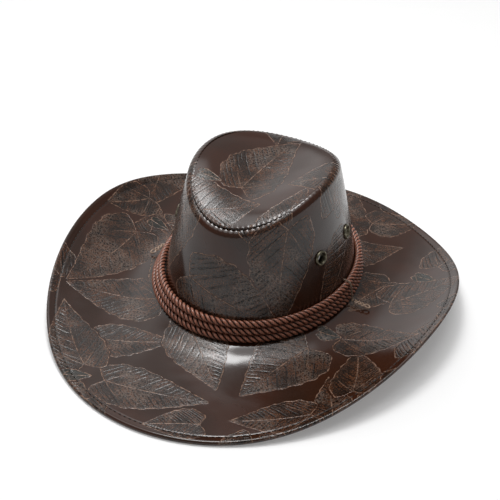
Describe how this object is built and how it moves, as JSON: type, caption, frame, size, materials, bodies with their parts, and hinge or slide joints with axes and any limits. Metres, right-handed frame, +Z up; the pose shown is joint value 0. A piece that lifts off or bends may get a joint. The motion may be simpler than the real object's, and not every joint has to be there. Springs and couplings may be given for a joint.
{
  "type": "western hat",
  "caption": "Western hat in embossed synthetic leather, with a dished crown, a wired brim rolled up at the sides, a band of twisted cords and brass vents.",
  "frame": {"origin": "on the surface the hat stands on, under the middle of the brim", "axes": "+Z up through the crown; +Y from the front of the hat to its back; +X to the wearer's left"},
  "size_m": [0.358, 0.414, 0.1369],
  "materials": {
    "embossed_leather": "glossy embossed synthetic leather",
    "lining": "matt woven lining",
    "sweatband": "matt ribbon",
    "stiffener": "matt buckram",
    "wire": "drawn wire",
    "cord": "twisted cord with a slight sheen",
    "tie_thread": "twisted waxed thread",
    "sewing_thread": "matt sewing thread",
    "brass": "antique brass"
  },
  "bodies": {
    "hat": {"crown_tip_panel": "embossed_leather", "crown_side_panel": "embossed_leather", "brim_top_cover": "embossed_leather", "brim_under_cover": "embossed_leather", "band_keeper": "embossed_leather", "crown_tip_lining": "lining", "crown_side_lining": "lining", "sweatband": "sweatband", "brim_core": "stiffener", "brim_edge_wire": "wire", "band_cord_lower": "cord", "band_cord_middle": "cord", "band_cord_upper": "cord", "band_tie_left": "tie_thread", "band_tie_right": "tie_thread", "tip_seam_thread": "sewing_thread", "back_seam_thread": "sewing_thread", "brim_top_thread": "sewing_thread", "brim_under_thread": "sewing_thread", "sweatband_thread": "sewing_thread", "eyelet_front_left": "brass", "eyelet_washer_front_left": "brass", "eyelet_back_left": "brass", "eyelet_washer_back_left": "brass", "eyelet_front_right": "brass", "eyelet_washer_front_right": "brass", "eyelet_back_right": "brass", "eyelet_washer_back_right": "brass"},
    "left_tail": {"tie_loop_left": "tie_thread"},
    "right_tail": {"tie_loop_right": "tie_thread"}
  },
  "joints": [
    {"name": "left_tail_lift", "type": "hinge", "parent": "hat", "child": "left_tail", "pos_m": [0.0946, 0.0168, 0.0191], "axis": [0.3431, -0.9393, 0], "range_deg": [0, 80]},
    {"name": "right_tail_lift", "type": "hinge", "parent": "hat", "child": "right_tail", "pos_m": [-0.0974, 0.0037, 0.0191], "axis": [-0.8671, 0.4981, 0], "range_deg": [0, 80]}
  ]
}
